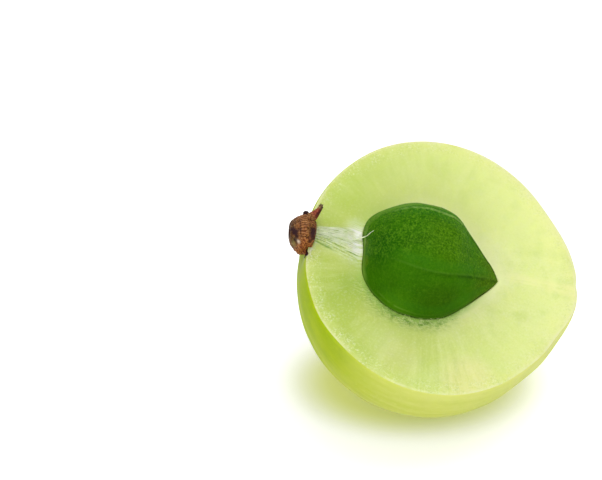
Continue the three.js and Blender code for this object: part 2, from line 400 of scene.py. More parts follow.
def skin_material():
    n = new_nodes("skin")
    x, y, z = n.split(n.place)
    wobble = n.between(n.noise(7, 2), -0.025, 0.025)
    round_axis = n.plus(n.math("ARCTAN2", y, z), wobble)

    def meridians(count, first, half_width):
        """Lines from stalk to apex. first and half_width are parts of the space between two lines."""
        turns = n.plus(n.times(round_axis, count / (2 * pi)), first)
        return n.near(n.math("FRACT", turns), 0.5, 0, half_width)

    squares = n.plus(n.times(y, y), n.times(z, z))
    off_axis = n.math("DIVIDE", n.math("SQRT", squares), MEAN_RADIUS)
    patchy = n.rise(n.noise(2.4, 2), 0.35, 0.7)
    away = n.rise(off_axis, 0.1, 0.5)
    main = n.times(meridians(FURROWS, 0.5, 0.032), away)
    halo = n.times(meridians(FURROWS, 0.5, 0.11), away)
    fine = n.times(meridians(48, 0.2, 0.22), n.rise(off_axis, 0.3, 0.7), patchy)
    coarse = n.times(meridians(18, 0.35, 0.4), n.rise(off_axis, 0.3, 0.7))

    # Deeper green towards the stalk and paler towards the apex: partly the skin's own tone, partly
    # painted shade on the stalk side.
    tone_and_shade_along = n.plus(x, n.between(n.noise(5), -4.5, 4.5))
    n.colour = n.mix(n.rise(tone_and_shade_along, -13, -4.5), (158, 185, 0), (203, 214, 84))
    n.lay((213, 221, 98), n.rise(tone_and_shade_along, -5, 3))
    n.lay((222, 232, 108), n.rise(x, 6, 12))
    pale = n.mix(n.rise(x, -11, -2), (190, 208, 26), (222, 228, 128))
    n.lay((180, 200, 30), n.rise(n.noise(6), 0.4, 0.75), 0.4)
    n.lay(pale, coarse, 0.26)
    n.lay(pale, fine, 0.34)
    n.lay(pale, halo, 0.3)
    n.lay(n.mix(n.rise(x, -11, -2), (208, 220, 80), (228, 233, 156)), main, 0.32)
    n.lay(pale, n.rise(n.noise(0.6, 4, 0.65), 0.45, 0.75), 0.36)
    around = n.vector("SCALE", n.vector("NORMALIZE", n.combine(0, y, z)), Scale=16)
    combed = n.vector("ADD", around, n.combine(n.times(x, 0.2), 0, 0))
    streaks = n.noise(1, 3, 0.6, combed)
    streaky = n.rise(off_axis, 0.4, 0.8)
    n.lay(pale, n.rise(streaks, 0.5, 0.66), streaky, 0.24)
    n.lay((186, 202, 44), n.fall(streaks, 0.34, 0.48), streaky, 0.2)
    specks = n.fall(n.add("TexVoronoi", {"Vector": n.place, "Scale": 1 / 0.9}), 0.05, 0.16)
    n.lay(pale, specks, n.rise(n.noise(1.6, 1), 0.45, 0.6), 0.6)
    # Painted light: the skin is painted paler towards the cut, for the light that enters through the cut
    # and comes out again through the skin beside it.
    painted_glow = n.math("POWER", n.rise(z, -3.2, 1.5), 1.6)
    n.lay((226, 230, 142), painted_glow, n.rise(x, -12, 3), 0.6)
    n.lay((146, 170, 46), n.fall(off_axis, 0.16, 0.36), n.fall(x, -12, -8), 0.45)
    height = n.plus(n.times(n.noise(0.35, 4), 0.5), n.times(halo, -0.5))
    normal = n.bump(height, 0.04, 0.5)
    rough_skin = n.between(n.noise(1.2, 2), 0.34, 0.48)
    into = inside(FLESH_INSIDE, *FLESH_REACH)
    return n.finish(Roughness=rough_skin, Normal=normal, Specular_IOR_Level=0.02, **into)


# Soft blotches on the cut face: where, their inner and outer radius, how strong, and their colour.
FACE_PATCHES = [
    ((-11.5, 6.8), 1, 4.5, 0.40, (184, 208, 78)),
    ((-10.2, -6), 0.5, 3.6, 0.40, (164, 190, 70)),
    ((-1.2, -10), 0.5, 3.2, 0.35, (184, 202, 92)),
    ((-5.5, -10.5), 0.5, 3, 0.40, (214, 226, 150)),
    ((-9.5, -4.6), 0.4, 2.2, 0.50, (158, 188, 60)),
    ((-9.9, 2.7), 0.2, 1.5, 0.45, (226, 238, 184)),
    ((5.5, 2.5), 0.8, 4.5, 0.35, (244, 250, 190)),
    ((4.4, -13), 1.2, 4.2, 0.45, (245, 235, 178)),
    ((-3.4, -12.2), 1, 3.6, 0.32, (225, 225, 160)),
]


def cut_material():
    n = new_nodes("cut_flesh")
    x, y = n.split(n.place)[:2]
    to_rim, to_stone = n.attribute("to_rim"), n.attribute("to_stone")

    # Paler towards the apex and deeper towards the stalk: partly the flesh's own tone, partly painted
    # light on the side that the light falls on more.
    slant = n.plus(n.times(x, 0.9), n.times(y, 0.34))
    n.colour = n.mix(n.math("DIVIDE", n.plus(slant, 12), 25), (187, 205, 92), (236, 244, 166))
    # The flesh on the far side is evener.
    lively = n.between(n.fall(y, 2.5, 7), 0.45, 1)
    cloud = n.noise(4.2, 3, 0.5)
    n.lay((226, 236, 166), n.rise(cloud, 0.45, 0.75), lively, 0.36)
    veil = n.noise(2.6, at=n.vector("ADD", n.place, (31, 7, 2)))
    n.lay((186, 208, 92), n.rise(veil, 0.48, 0.72), lively, 0.32)

    for at, *shape in FACE_PATCHES:
        n.patch((*at, CUT_HEIGHT), *shape)

    # Faint fibres that run out from the stone towards the skin, in patches.
    from_middle = n.vector("MULTIPLY", n.vector("SUBTRACT", n.place, FACE_CENTRE), (1, 1, 0))
    heading = n.vector("NORMALIZE", from_middle)
    distance = n.vector("LENGTH", from_middle, output="Value")

    def outward(turns, stretch):
        """Places for noise, turns cells to a radian round the stone and stretch to a mm away from it."""
        outwards = n.combine(0, 0, n.times(distance, stretch))
        return n.vector("ADD", n.vector("SCALE", heading, Scale=turns), outwards)

    streaks = n.noise(1, 3, 0.6, outward(24, 0.2))
    broad = n.noise(1, 2, 0.5, outward(7, 0.12))
    patches = n.rise(n.noise(5, 1), 0.35, 0.6)
    outer = n.rise(to_stone, 0.5, 4)
    lower_half = n.between(n.fall(y, -4, 3), 0.25, 1)
    seen = n.times(patches, outer, lower_half, n.between(n.fall(x, 2, 8), 0.25, 1))
    n.lay((236, 242, 178), n.rise(broad, 0.48, 0.7), outer, 0.16)
    n.lay((240, 245, 196), n.rise(streaks, 0.5, 0.72), seen, 0.20)
    n.lay((178, 200, 94), n.fall(streaks, 0.34, 0.5), seen, 0.18)
    # Round the stone the flesh is painted lighter, greener at the stalk end and brighter beyond: painted
    # light against the stone's shade on it.
    apex_side = n.rise(n.plus(x, n.times(y, 0.5)), -6, 2)
    painted_light_round_stone = n.mix(apex_side, (178, 208, 88), (246, 252, 186))
    n.lay(painted_light_round_stone, n.fall(to_stone, 0, 2.6), 0.45)
    grain = n.noise(0.24, 3, 0.7)
    n.lay((242, 246, 208), n.rise(grain, 0.48, 0.75), lively, 0.2)
    n.lay((176, 198, 92), n.fall(grain, 0.3, 0.48), lively, 0.12)

    # The whitish crumbs just inside the skin, most of them on the lower side next to the stalk.
    crumbs = n.rise(n.noise(0.2, 3, 0.65), 0.5, 0.62)
    stalk_side = n.times(n.fall(x, -9.5, -1), n.fall(y, -1.5, 2))
    far_side = n.times(n.fall(x, -6, 0), n.rise(y, 3, 6))
    near_side = n.times(n.fall(y, -13, -9), n.rise(x, -4, 0))
    most = n.plus(n.times(stalk_side, 0.65), n.times(far_side, 0.2), 0.35, n.times(near_side, 0.25))
    crumb_band = n.times(n.fall(to_rim, 0.9, 2.2), n.rise(n.noise(1.5, 2), 0.3, 0.6), most)
    n.lay((222, 232, 168), n.fall(to_rim, 0.3, 1.8), most, 0.22)
    n.lay((242, 247, 216), crumbs, crumb_band, 0.56)
    pits = n.fall(n.noise(0.2, 3, 0.65, n.vector("ADD", n.place, (5, 9, 3))), 0.38, 0.5)
    n.lay((168, 194, 80), pits, crumb_band, 0.42)
    n.lay((236, 240, 186), n.fall(to_rim, 0.05, 0.5), n.rise(n.noise(2.1, 2), 0.3, 0.7), 0.55)

    # The pale strand from the stone's tip to the apex.
    across = n.near(n.plus(y, n.times(n.noise(2.5, 1), -0.6)), 0.35, 0.1, 1.1)
    strand = n.times(across, n.rise(x, 5.5, 9.5), n.rise(streaks, 0.2, 0.6))
    n.lay((244, 245, 178), strand, 0.6)

    # Combed dark and pale fibres under the stone, and a painted soft green shade where it meets the
    # flesh.
    below = n.times(n.fall(y, -5.5, -2.5), n.fall(x, 0.5, 4))
    combed = n.noise(0.24, 3, 0.65, n.vector("MULTIPLY", n.place, (0.5, 1.5, 1)))
    near = n.fall(to_stone, 0.3, 2.2)
    n.lay((146, 188, 78), near, below, n.fall(combed, 0.4, 0.52), 0.6)
    n.lay((220, 238, 158), near, below, n.rise(combed, 0.5, 0.62), 0.6)
    # Painted shade: a darker green band below the stone, where it meets the flesh.
    shade = n.times(n.fall(to_stone, 0, 1), n.fall(y, -5, -1.5), 0.8)
    n.lay((146, 190, 80), shade, n.rise(grain, 0.2, 0.55))

    # The whitish stalk strand, combed along its length, with green gaps and one at its lower edge.
    film, along, side = (n.attribute(name) for name in ("film", "strand_along", "strand_side"))
    combing = n.noise(1, 4, 0.6, n.combine(n.times(along, 2.4), n.times(side, 8.5), 0))
    frayed = n.noise(0.5, 3, 0.6)
    whiteness = n.times(film, n.between(n.rise(combing, 0.43, 0.53), 0.05, 1))
    tatters = n.between(n.fall(side, -0.3, 0.4), 0.3, 0.7)
    whiteness = n.times(whiteness, n.less(n.times(tatters, n.fall(frayed, 0.36, 0.54))))
    flecks = n.rise(n.noise(0.26, 3, 0.7), 0.46, 0.6)
    under = n.times(n.near(side, -0.4, 0.4, 1), n.fall(x, -9.2, -8.4))
    n.lay((226, 240, 192), flecks, under, 0.5)
    at_stone = n.times(n.fall(to_stone, 0.4, 2.2), n.near(side, 0.35, 0.6, 1.1))
    n.lay((246, 255, 224), whiteness)
    strands = n.between(n.rise(combing, 0.4, 0.52), 0.4, 0.9)
    n.lay((255, 255, 240), at_stone, n.fall(x, -9.2, -8.4), strands)
    in_strand = n.times(n.near(side, 0, 0.5, 1.1), n.fall(x, -9.6, -8.6))
    gaps = n.times(n.fall(combing, 0.37, 0.48), in_strand, n.rise(frayed, 0.3, 0.5))
    lower_gaps = n.times(n.fall(combing, 0.42, 0.54), n.fall(side, -0.1, 0.3), n.fall(along, 0.45, 0.75))
    gaps = n.math("MAXIMUM", gaps, n.times(lower_gaps, in_strand, n.rise(frayed, 0.4, 0.55), 0.8))
    lower_edge = n.near(n.plus(side, n.times(frayed, 0.1)), -0.92, 0.02, 0.2)
    lower_edge = n.times(lower_edge, n.fall(along, 0.3, 0.6), n.rise(frayed, 0.3, 0.5))
    gaps = n.math("MAXIMUM", gaps, lower_edge)
    whole = n.less(n.times(n.fall(to_stone, 0.6, 2.4), n.rise(side, -0.2, 0.1)))
    n.lay((118, 158, 54), gaps, whole, n.fall(x, -9.4, -8.6), 0.85)

    fine = n.noise(0.22, 4, 0.7)
    height = n.plus(n.times(fine, 0.6), n.times(streaks, 0.6), n.times(crumbs, crumb_band, 0.8))
    height = n.plus(height, n.times(combing, in_strand, 2.6))
    normal = n.bump(height, 0.06, 0.6)
    wet = n.between(cloud, 0.26, 0.56)
    # Next to the stone the light stays at the surface, so that the edge isn't drained of its colour.
    into = inside(n.times(n.rise(to_stone, 0.1, 1.5), FLESH_INSIDE), *FLESH_REACH)
    return n.finish(Roughness=wet, Normal=normal, Specular_IOR_Level=0.12, **into)


# The same on the stone, each with its place in all three directions.
STONE_PATCHES = [
    ((-7.2, -1.8, 5.6), 0.4, 3.2, 0.7, (20, 84, 0)),
    ((-0.4, -0.6, 7.6), 0.8, 4.4, 0.6, (74, 120, 0)),
    ((-3.5, -3.6, 6.2), 0.5, 3.4, 0.5, (58, 118, 0)),
    ((-0.5, -5.2, 3.6), 0.8, 3.4, 0.6, (48, 86, 0)),
    ((-4.6, -6.6, 2), 0.5, 3, 0.5, (88, 146, 8)),
    ((-8.95, 0.5, 2.2), 0.1, 0.7, 0.7, (190, 212, 140)),
    ((-8.9, -0.1, 2.9), 0.1, 0.8, 0.4, (140, 160, 40)),
    ((-8.5, -2.1, 2.7), 0.1, 0.9, 0.35, (128, 148, 30)),
]


def stone_material():
    n = new_nodes("stone")
    x, y, z = n.split(n.place)
    beside = n.attribute("beside_ridge")
    n.colour = n.mix(n.rise(y, -3.5, -1), (56, 112, 0), (54, 112, 0))
    n.lay((34, 82, 0), n.rise(n.noise(2.4, 4, 0.6), 0.42, 0.75), 0.5)
    for patch in STONE_PATCHES:
        n.patch(*patch)
    n.lay((84, 104, 0), n.rise(x, 2, 6.2), 0.65)
    # Painted sheen: patches on the upper side are painted a cooler green, as the sky's reflection there.
    painted_sheen = n.times(n.rise(y, 1.2, 3.6), n.rise(n.noise(1.8), 0.3, 0.6))
    n.lay((44, 120, 8), painted_sheen, 0.55)

    # Short pale fuzz over the upper side, worn off below.
    hairs = n.noise(0.21, 4, 0.75)
    lying = n.noise(0.3, 3, 0.7, n.vector("MULTIPLY", n.place, (1, 0.35, 0.35)))
    worn = n.between(n.rise(n.noise(1.6, 2), 0.3, 0.55), 0.6, 0.9)
    kept = n.times(n.between(n.rise(y, -3.8, -1.4), 0.3, 1), worn)
    n.lay((114, 162, 34), n.rise(hairs, 0.5, 0.62), kept, 0.5)
    n.lay((98, 150, 26), n.rise(lying, 0.5, 0.62), kept, 0.42)
    n.lay((18, 68, 0), n.fall(hairs, 0.4, 0.5), kept, 0.6)

    # The ribs: a thin light line on each, and a darker one beside it.
    on_dome = n.times(n.rise(x, -7.6, -4.5), n.rise(n.noise(1.1, 2), 0.25, 0.5))
    light = n.near(beside, 0.1, 0, 0.2)
    glow = n.near(beside, 0.8, 0.1, 1)
    turned = n.attribute("round_axis")
    front = n.math("MAXIMUM", n.rise(turned, 295, 305), n.fall(turned, 230, 240))
    dark = n.times(n.near(beside, -0.12, 0, 0.34), front)
    n.lay((56, 120, 18), glow, on_dome, 0.35)
    n.lay((26, 68, 0), dark, on_dome, n.rise(x, -5, 3), 0.5)
    worn_edge = n.times(n.fall(y, -5.6, -4.6), n.fall(x, -4.5, -2), 0.4)
    n.lay((118, 160, 60), light, on_dome, n.plus(worn_edge, 0.12))
    # Beyond the highest rib the fuzz lies thicker and paler, most of all beside the rib.
    beyond = n.times(n.rise(turned, 35, 42), n.fall(turned, 52, 90), n.fall(x, -1, 3))
    thick = n.between(n.rise(hairs, 0.35, 0.6), 0.5, 1)
    n.lay((112, 156, 50), beyond, thick, 0.6)
    crest = n.times(n.near(beside, -0.05, 0.06, 0.26), n.rise(turned, 20, 28))
    crest = n.times(crest, n.fall(turned, 48, 60), n.fall(x, 0, 2.5))
    n.lay((146, 184, 92), crest, on_dome, thick, 0.6)

    # Painted light: the foot of the stone's lower side is painted paler where it meets the flesh and
    # lies in shade.
    foot = n.times(n.fall(n.plus(z, n.times(hairs, 0.5)), 1.8, 2.2), n.fall(y, -3.2, -1.8))
    n.lay((108, 150, 50), foot, 0.6)
    # A soft pale green hem at the foot of the stone's base.
    hem = n.times(n.fall(n.plus(z, n.times(hairs, 0.8)), 2.2, 3), n.fall(x, -8.3, -7.3))
    hem = n.times(hem, n.rise(y, -4.6, -3.2), n.fall(y, 0.4, 1.4))
    n.lay((130, 168, 64), hem, 0.65)
    base_end = n.times(n.fall(x, -9.15, -8.55), n.near(y, 0, 1.2, 2.4))
    n.lay((160, 190, 92), base_end, n.rise(hairs, 0.3, 0.55), 0.5)
    normal = n.bump(n.plus(n.times(hairs, kept, 0.9), n.times(n.noise(0.8), 0.5)), 0.12, 0.7)
    into = inside(0.1, (0.5, 1, 0.1), 0.8)
    return n.finish(Roughness=0.55, Normal=normal, Specular_IOR_Level=0.03, **into)


def fibre_material():
    n = new_nodes("fibre")
    tint = n.noise(0.5)
    upper = n.rise(n.split(n.place)[1], -1.2, 1)
    bright = n.between(n.times(n.rise(tint, 0.3, 0.6), upper), 0.5, 1)
    n.colour = n.mix(bright, (216, 236, 164), (248, 255, 220))
    return n.finish(Roughness=0.45, Specular_IOR_Level=0.4, **inside(0.3, (1, 1, 0.7), 0.3))


def fuzz_material():
    n = new_nodes("torn_flesh")
    n.colour = n.mix(n.rise(n.noise(0.35, 2), 0.42, 0.58), (138, 180, 76), (220, 236, 160))
    return n.finish(Roughness=0.6, Specular_IOR_Level=0.05)


# The values that the calyx's vertices carry for its material: 0 where a part of it doesn't set them.
CALYX_VALUES = "hollow tip ridge groove upper red amber thin stalk_end root end spark".split()


def calyx_material():
    n = new_nodes("calyx")
    hollow, tip, ridge, groove, upper, red, amber, thin, stalk_end, root, end, spark = (
        n.attribute(name) for name in CALYX_VALUES
    )
    grain = n.noise(0.2, 4, 0.7)
    patchy = n.noise(0.6, 3, 0.6)
    n.colour = n.mix(n.rise(grain, 0.36, 0.65), (44, 14, 0), (186, 124, 68))
    n.lay((100, 46, 30), n.rise(patchy, 0.5, 0.7), 0.55)
    n.lay(n.mix(n.rise(grain, 0.35, 0.6), (48, 22, 8), (134, 86, 46)), upper, 0.5)
    n.lay((136, 98, 42), n.fall(patchy, 0.34, 0.48), 0.4)
    n.lay(n.mix(n.rise(grain, 0.38, 0.62), (104, 38, 14), (208, 128, 66)), amber, 0.75)
    flecked = n.rise(grain, 0.4, 0.6)
    dull_red = n.mix(flecked, (126, 40, 32), (168, 84, 62))
    dull_red = n.mix(root, dull_red, n.mix(flecked, (106, 66, 30), (176, 128, 76)))
    dull_red = n.mix(end, dull_red, n.mix(flecked, (80, 58, 34), (142, 116, 80)))
    n.lay(dull_red, red, 0.9)
    # Painted highlight on the pleats' crests, and painted shade in their grooves.
    n.lay((216, 150, 100), ridge, 0.6)
    n.lay((70, 32, 14), groove, 0.5)
    n.lay((152, 144, 84), thin, 0.7)
    n.lay((64, 40, 16), stalk_end, 0.8)
    # Painted shade: the sunken places and the seam are painted dark.
    hollow_shade = n.plus(hollow, n.times(n.plus(grain, -0.5), 0.5))
    n.lay((50, 26, 34), n.rise(hollow_shade, 0.1, 0.85), 0.94)
    # Dark dry sepal tips, and on the long sepal painted shade on its side away from the light.
    n.lay((46, 18, 16), tip)
    # Painted highlights: small glints where nothing covers them, and one bright spot.
    glint = n.rise(n.noise(0.22, 2), 0.58, 0.7)
    bare = n.less(n.math("MAXIMUM", n.rise(hollow, 0.1, 0.5), tip))
    n.lay((230, 178, 122), glint, bare, 0.5)
    n.lay((255, 236, 208), spark, n.rise(grain, 0.3, 0.5), 0.9)
    normal = n.bump(grain, 0.09, 1)
    return n.finish(Roughness=0.5, Normal=normal, Specular_IOR_Level=0.1)


# -------- the fruit half

FACE_CENTRE = (-1.2, STONE_Y, CUT_HEIGHT)  # the face's outlines are measured round this point
SECTORS = 384
SKIN_ROWS, RIM_ROWS, FACE_ROWS, SOCKET_ROWS = 78, 7, 120, 10
RIM_ROUND = 0.22  # how far in from the edge the knife's corner is rounded
STONE_GAP = 0.02
OUTSIDE = 20.0  # further from FACE_CENTRE than the skin in every direction
HALVINGS = 36
BATCHES = 60  # how many parts long tables of distances are made in
FAR = 50.0  # the distance to the rim or the stone that vertices off the cut face are given
sector_angle = full_turn(SECTORS)
sector = np.stack([np.cos(sector_angle), np.sin(sector_angle), np.zeros(SECTORS)], axis=-1)


def reach(is_in, directions):
    """How far each direction runs from FACE_CENTRE before is_in(points) turns false."""
    near, far = np.zeros(directions.shape[:-1]), np.full(directions.shape[:-1], OUTSIDE)
    for _ in range(HALVINGS):
        middle = (near + far) / 2
        within = is_in(np.array(FACE_CENTRE) + directions * middle[..., None])
        near, far = np.where(within, middle, near), np.where(within, far, middle)
    return near


def in_fruit(points):
    distance = np.linalg.norm(points, axis=-1)
    return distance < skin_radius(points / np.maximum(distance, 1e-9)[..., None])


profile_x, profile_half = spline(STONE_PROFILE, np.linspace(0, 1, 400)).T


def in_stone(points):
    x, y, z = np.moveaxis(pushed(points, -1.0), -1, 0)
    off_y, off_z = y - STONE_Y, z - CUT_HEIGHT
    rib = np.abs(np.cos(STONE_RIBS / 2 * np.arctan2(off_y, off_z))) ** 4
    half = np.interp(x, profile_x, profile_half, left=-1, right=-1) * (1 - RIB_HEIGHT * rib)
    return np.hypot(off_y, off_z) < half


def nearest(points, outline):
    """Each point's distance to the nearest point of an outline."""
    batches = np.array_split(points.reshape(-1, 1, 3), BATCHES)
    distances = [np.linalg.norm(batch - outline[None], axis=-1).min(1) for batch in batches]
    return np.concatenate(distances).reshape(points.shape[:-1])


def flattened(points):
    """Presses the skin flat where the half lies, along the row's vertical."""
    height = points @ -DOWN + SHIFT[2]
    soft = FLAT_SPOT_EDGE * np.logaddexp(0, height / FLAT_SPOT_EDGE)
    return points + (soft - height)[..., None] * -DOWN


# The stalk strand: its two ends in x, and its middle in y and half width, evenly from calyx to stone.
STRAND_X = (-14.2, -8.9)
STRAND_MIDDLE = [0.60, 0.57, 0.50, 0.32, 0.0]
STRAND_HALF_WIDTH = [0.84, 1.18, 1.50, 1.78, 1.80]


def strand_across(points):
    """(0 at the calyx to 1 at the stone, sideways from the strand's middle in its own half widths)."""
    along = np.clip((points[..., 0] - STRAND_X[0]) / (STRAND_X[1] - STRAND_X[0]), 0, 1)
    return along, (points[..., 1] - spline(STRAND_MIDDLE, along)) / spline(STRAND_HALF_WIDTH, along)


def strand_film(points):
    """How white the flesh is round the fibres: most in their upper half and towards the stone."""
    along, across = strand_across(points)
    core = bump(across - 0.45, 0.6) * (0.75 + 0.25 * along) * (1 - rise(across, 0.85, 1.15))
    wedge = bump(across - 1.2, 0.45) * 0.4 * rise(along, 0.5, 1.0)
    lower = bump(across + 0.5, 0.6) * (0.3 + 0.2 * rise(along, 0.45, 1.0))
    return np.clip(core + wedge + lower, 0, 1) * (1 - rise(points[..., 0], -8.4, -7.6))


def build_flesh():
    """The skin, up from its lowest point to the knife's edge, the cut face and the stone's socket."""
    centre = np.array(FACE_CENTRE)

    def at_stone(directions):
        return centre + directions * (reach(in_stone, directions) + STONE_GAP)[..., None]

    rim = centre + sector * reach(in_fruit, sector)[:, None]
    edge = at_stone(sector)

    steps = np.linspace(1, 0, SKIN_ROWS + 1)[1:-1, None, None] ** 0.9
    directions = slerp(unit(rim)[None], DOWN, steps)
    skin = directions * skin_radius(directions)[..., None]
    lumps = rough(skin, 4.5, 2) * 0.05 + rough(skin, 1.1, 2) * 0.008
    skin = flattened(skin + directions * (lumps * rise(steps[..., 0], 0.0, 0.25))[..., None])

    on_skin = rim + unit(skin[-1] - rim) * RIM_ROUND
    on_face = rim + unit(centre - rim) * RIM_ROUND
    u = np.linspace(0, 1, RIM_ROWS)[:, None, None]
    corner = (1 - u) ** 2 * on_skin + 2 * u * (1 - u) * rim + u**2 * on_face

    face = on_face + (edge - on_face) * inner_steps(FACE_ROWS)[:, None, None]
    to_rim, to_stone = nearest(face, rim), nearest(face, edge)
    relief = (rough(face, 3.2) * 0.07 + rough(face, 0.7) * 0.022) * rise(to_rim, 0.2, 1.2)
    strand_along, strand_side = strand_across(face)
    collar = 0.16 * bump(to_stone, 0.4) * bump(strand_side, 1.1) * (1 - rise(face[..., 0], -8.2, -7.2))
    meet = 0.05 * bump(to_stone, 0.5) + collar
    torn = rough(face, 0.32, 2) * 0.06 * bump(to_stone - 0.5, 0.7) * rise(-face[..., 1], 2.0, 5.0)
    cords = 0.05 * np.cos(13 * strand_side + 2 * rough(face, 1.5, 2)) - 0.05
    cords = cords * (1 - rise(np.abs(strand_side), 0.6, 1.15)) * (1 - rise(face[..., 0], -8.9, -8.2))
    face[..., 2] += relief + meet + torn + cords

    socket = at_stone(slerp(sector[None], MINUS_Z, inner_steps(SOCKET_ROWS)[:, None, None]))

    rings = np.concatenate([skin, corner, face, socket])
    shape = closed_grid(rings, flattened(DOWN * skin_radius(DOWN)), at_stone(MINUS_Z))

    def spread(of_face, other, of_corner):
        """One value for each vertex: of the face, of the rounded corner, and other on the rest."""
        values = np.full(rings.shape[:2], other)
        start = len(skin) + len(corner)
        values[len(skin) : start] = of_corner
        values[start : start + len(face)] = of_face
        return with_ends(values, other, other)

    attributes = {
        "to_rim": spread(to_rim, FAR, 0.0),
        "to_stone": spread(to_stone, FAR, FAR),
        "film": spread(strand_film(face), 0.0, 0.0),
        "strand_along": spread(strand_along, 0.0, 0.0),
        "strand_side": spread(np.clip(strand_side, -4, 4), 4.0, 4.0),
    }
    # closed_grid puts the faces between the rings first, then those at each end.
    row = np.repeat(np.arange(len(rings) - 1), SECTORS)
    is_cut = row >= len(skin) + len(corner) // 2
    slots = np.concatenate([is_cut, np.zeros(SECTORS), np.ones(SECTORS)])
    return piece("flesh", shape, [skin_material(), cut_material()], attributes, slots)


# -------- the stone

STONE_ROWS, STONE_SIDES = 170, 240
STONE_RIDGES = [-31.0, 37.0, 92.0, 150.0, 212.0, 281.0]  # degrees round the stone from +Z
OFF_RIDGES = 9.0  # mm beside a ridge, more than any place on the stone is


def build_stone():
    along = inner_steps(STONE_ROWS)[:, None]
    round_axis = full_turn(STONE_SIDES)[None]
    rings = stone_point(along + 0 * round_axis, round_axis + 0 * along)
    outward = rings - (rings * [1, 0, 0] + [0, STONE_Y, CUT_HEIGHT])
    width = np.linalg.norm(outward, axis=-1)
    lumps = rough(rings, 2.6) * 0.08 + rough(rings, 0.5) * 0.015
    beside = np.full(width.shape, OFF_RIDGES)
    for ridge in STONE_RIDGES:
        bent = radians(ridge) + 0.05 * np.sin(9 * along) - 0.08 * (1 - along)
        off = wrapped(round_axis - bent) * width
        beside = np.where(np.abs(off) < np.abs(beside), off, beside)
    keel = 0.05 * bump(beside, 0.2) + 0.05 * bump(beside - 0.3, 0.7) - 0.03 * bump(beside + 0.4, 0.35)
    keel = keel * rise(along, 0.15, 0.45)
    rings = rings + unit(outward) * ((lumps + keel) * rise(width, 0.2, 2.0))[..., None]
    ends = [np.array([STONE_PROFILE[i, 0], STONE_Y, CUT_HEIGHT]) for i in (0, -1)]
    shape = closed_grid(pushed(rings), *map(pushed, ends))
    attributes = {
        "beside_ridge": with_ends(beside, OFF_RIDGES, OFF_RIDGES),
        "round_axis": with_ends(np.degrees(round_axis + 0 * along), 0.0, 0.0),
    }
    return piece("stone_fine", shape, [stone_material()], attributes)


# -------- the stalk's fibres

FIBRES = 34
# A loose fibre that has come away over the stone's base: along the stone, and degrees round it.
STONE_FIBRE = [(0.066, 52.0), (0.086, 26.0), (0.111, 19.0), (0.13, 17.0), (0.152, 15.0)]
STONE_FIBRE_ROOT = [(-9.9, 0.8, 1.5), (-9.45, 0.92, 1.7)]


def build_fibres():
    """Fine fibres that fan out from the calyx to the stone's base, most of them along the upper side."""
    parts = []
    for _ in range(FIBRES):
        across = float(np.clip(rng.normal(0.42, 0.36), -0.8, 0.9))
        t = np.linspace(rng.uniform(0.0, 0.25), rng.uniform(0.75, 1.03), 18)
        x = STRAND_X[0] + (STRAND_X[1] - STRAND_X[0]) * t
        lean = rng.normal(0.14, 0.1)
        wave = 0.05 * np.sin(t * rng.uniform(4, 9) + rng.uniform(0, 6))
        sideways = across + lean * (0.5 - t)
        y = spline(STRAND_MIDDLE, t) + sideways * spline(STRAND_HALF_WIDTH, t) + wave
        z = CUT_HEIGHT + rng.uniform(-0.05, 0.05) + 0.04 * np.sin(t * 7 + rng.uniform(0, 6))
        z = z + 0.3 * rise(t, 0.88, 1.03)
        thick = rng.uniform(0.018, 0.046) * (1.1 if across > 0.1 else 0.7)
        radii = thick * (0.3 + 0.7 * np.sin(np.linspace(0.15, pi - 0.15, len(t))))
        parts.append(tube(np.stack([x, y, z], axis=-1), radii))
    over = [pushed(stone_point(along, radians(turned), 0.09)) for along, turned in STONE_FIBRE]
    loose = spline(np.array(STONE_FIBRE_ROOT + over), np.linspace(0, 1, 28))
    parts.append(tube(loose, np.linspace(0.08, 0.03, 28)))
    return piece("stalk_fibres", joined(parts), [fibre_material()])


FUZZ = 260


def build_fuzz():
    """Torn flesh fibres that lie along and out from the stone's lower edge."""
    parts = []
    for _ in range(FUZZ):
        heading = radians(rng.normal(-97, 17))
        out = np.array([cos(heading), sin(heading), 0.0])
        edge = np.array(FACE_CENTRE) + out * (reach(in_stone, out) + rng.uniform(-0.03, 0.85))
        lean = heading + rng.choice([-1, 1]) * rng.normal(1.0, 0.35)
        run = np.array([cos(lean), sin(lean), 0.0])
        length = rng.uniform(0.3, 0.95)
        t = np.linspace(0, 1, 9)
        lift = rng.uniform(0.0, 0.09) * np.sin(pi * t) + 0.02
        curl = rng.normal(0, 0.2) * t**2
        points = edge + run * (t * length)[:, None] + np.cross([0, 0, 1.0], run) * curl[:, None]
        points[:, 2] += lift
        parts.append(tube(points, rng.uniform(0.012, 0.028) * (1.05 - t), 5))
    return piece("torn_flesh", joined(parts), [fuzz_material()])


# -------- the calyx

CALYX_ROWS, CALYX_SIDES = 150, 260
# Height up the calyx and radius there: its foot, the pleated belt, the shoulder and the stalk's scar.
CALYX_PROFILE = np.array(
    [(0.0, 0.0), (0.0, 1.1), (0.2, 1.75), (0.55, 2.0), (0.95, 2.12), (1.35, 2.2), (1.75, 2.12)]
    + [(2.1, 1.9), (2.4, 1.6), (2.65, 1.2), (2.72, 0.85), (2.55, 0.6), (2.5, 0.0)]
)
CALYX_FRONT = radians(-31.4)  # the angle round the calyx of the side that faces out of the cut
PLEATS = 44
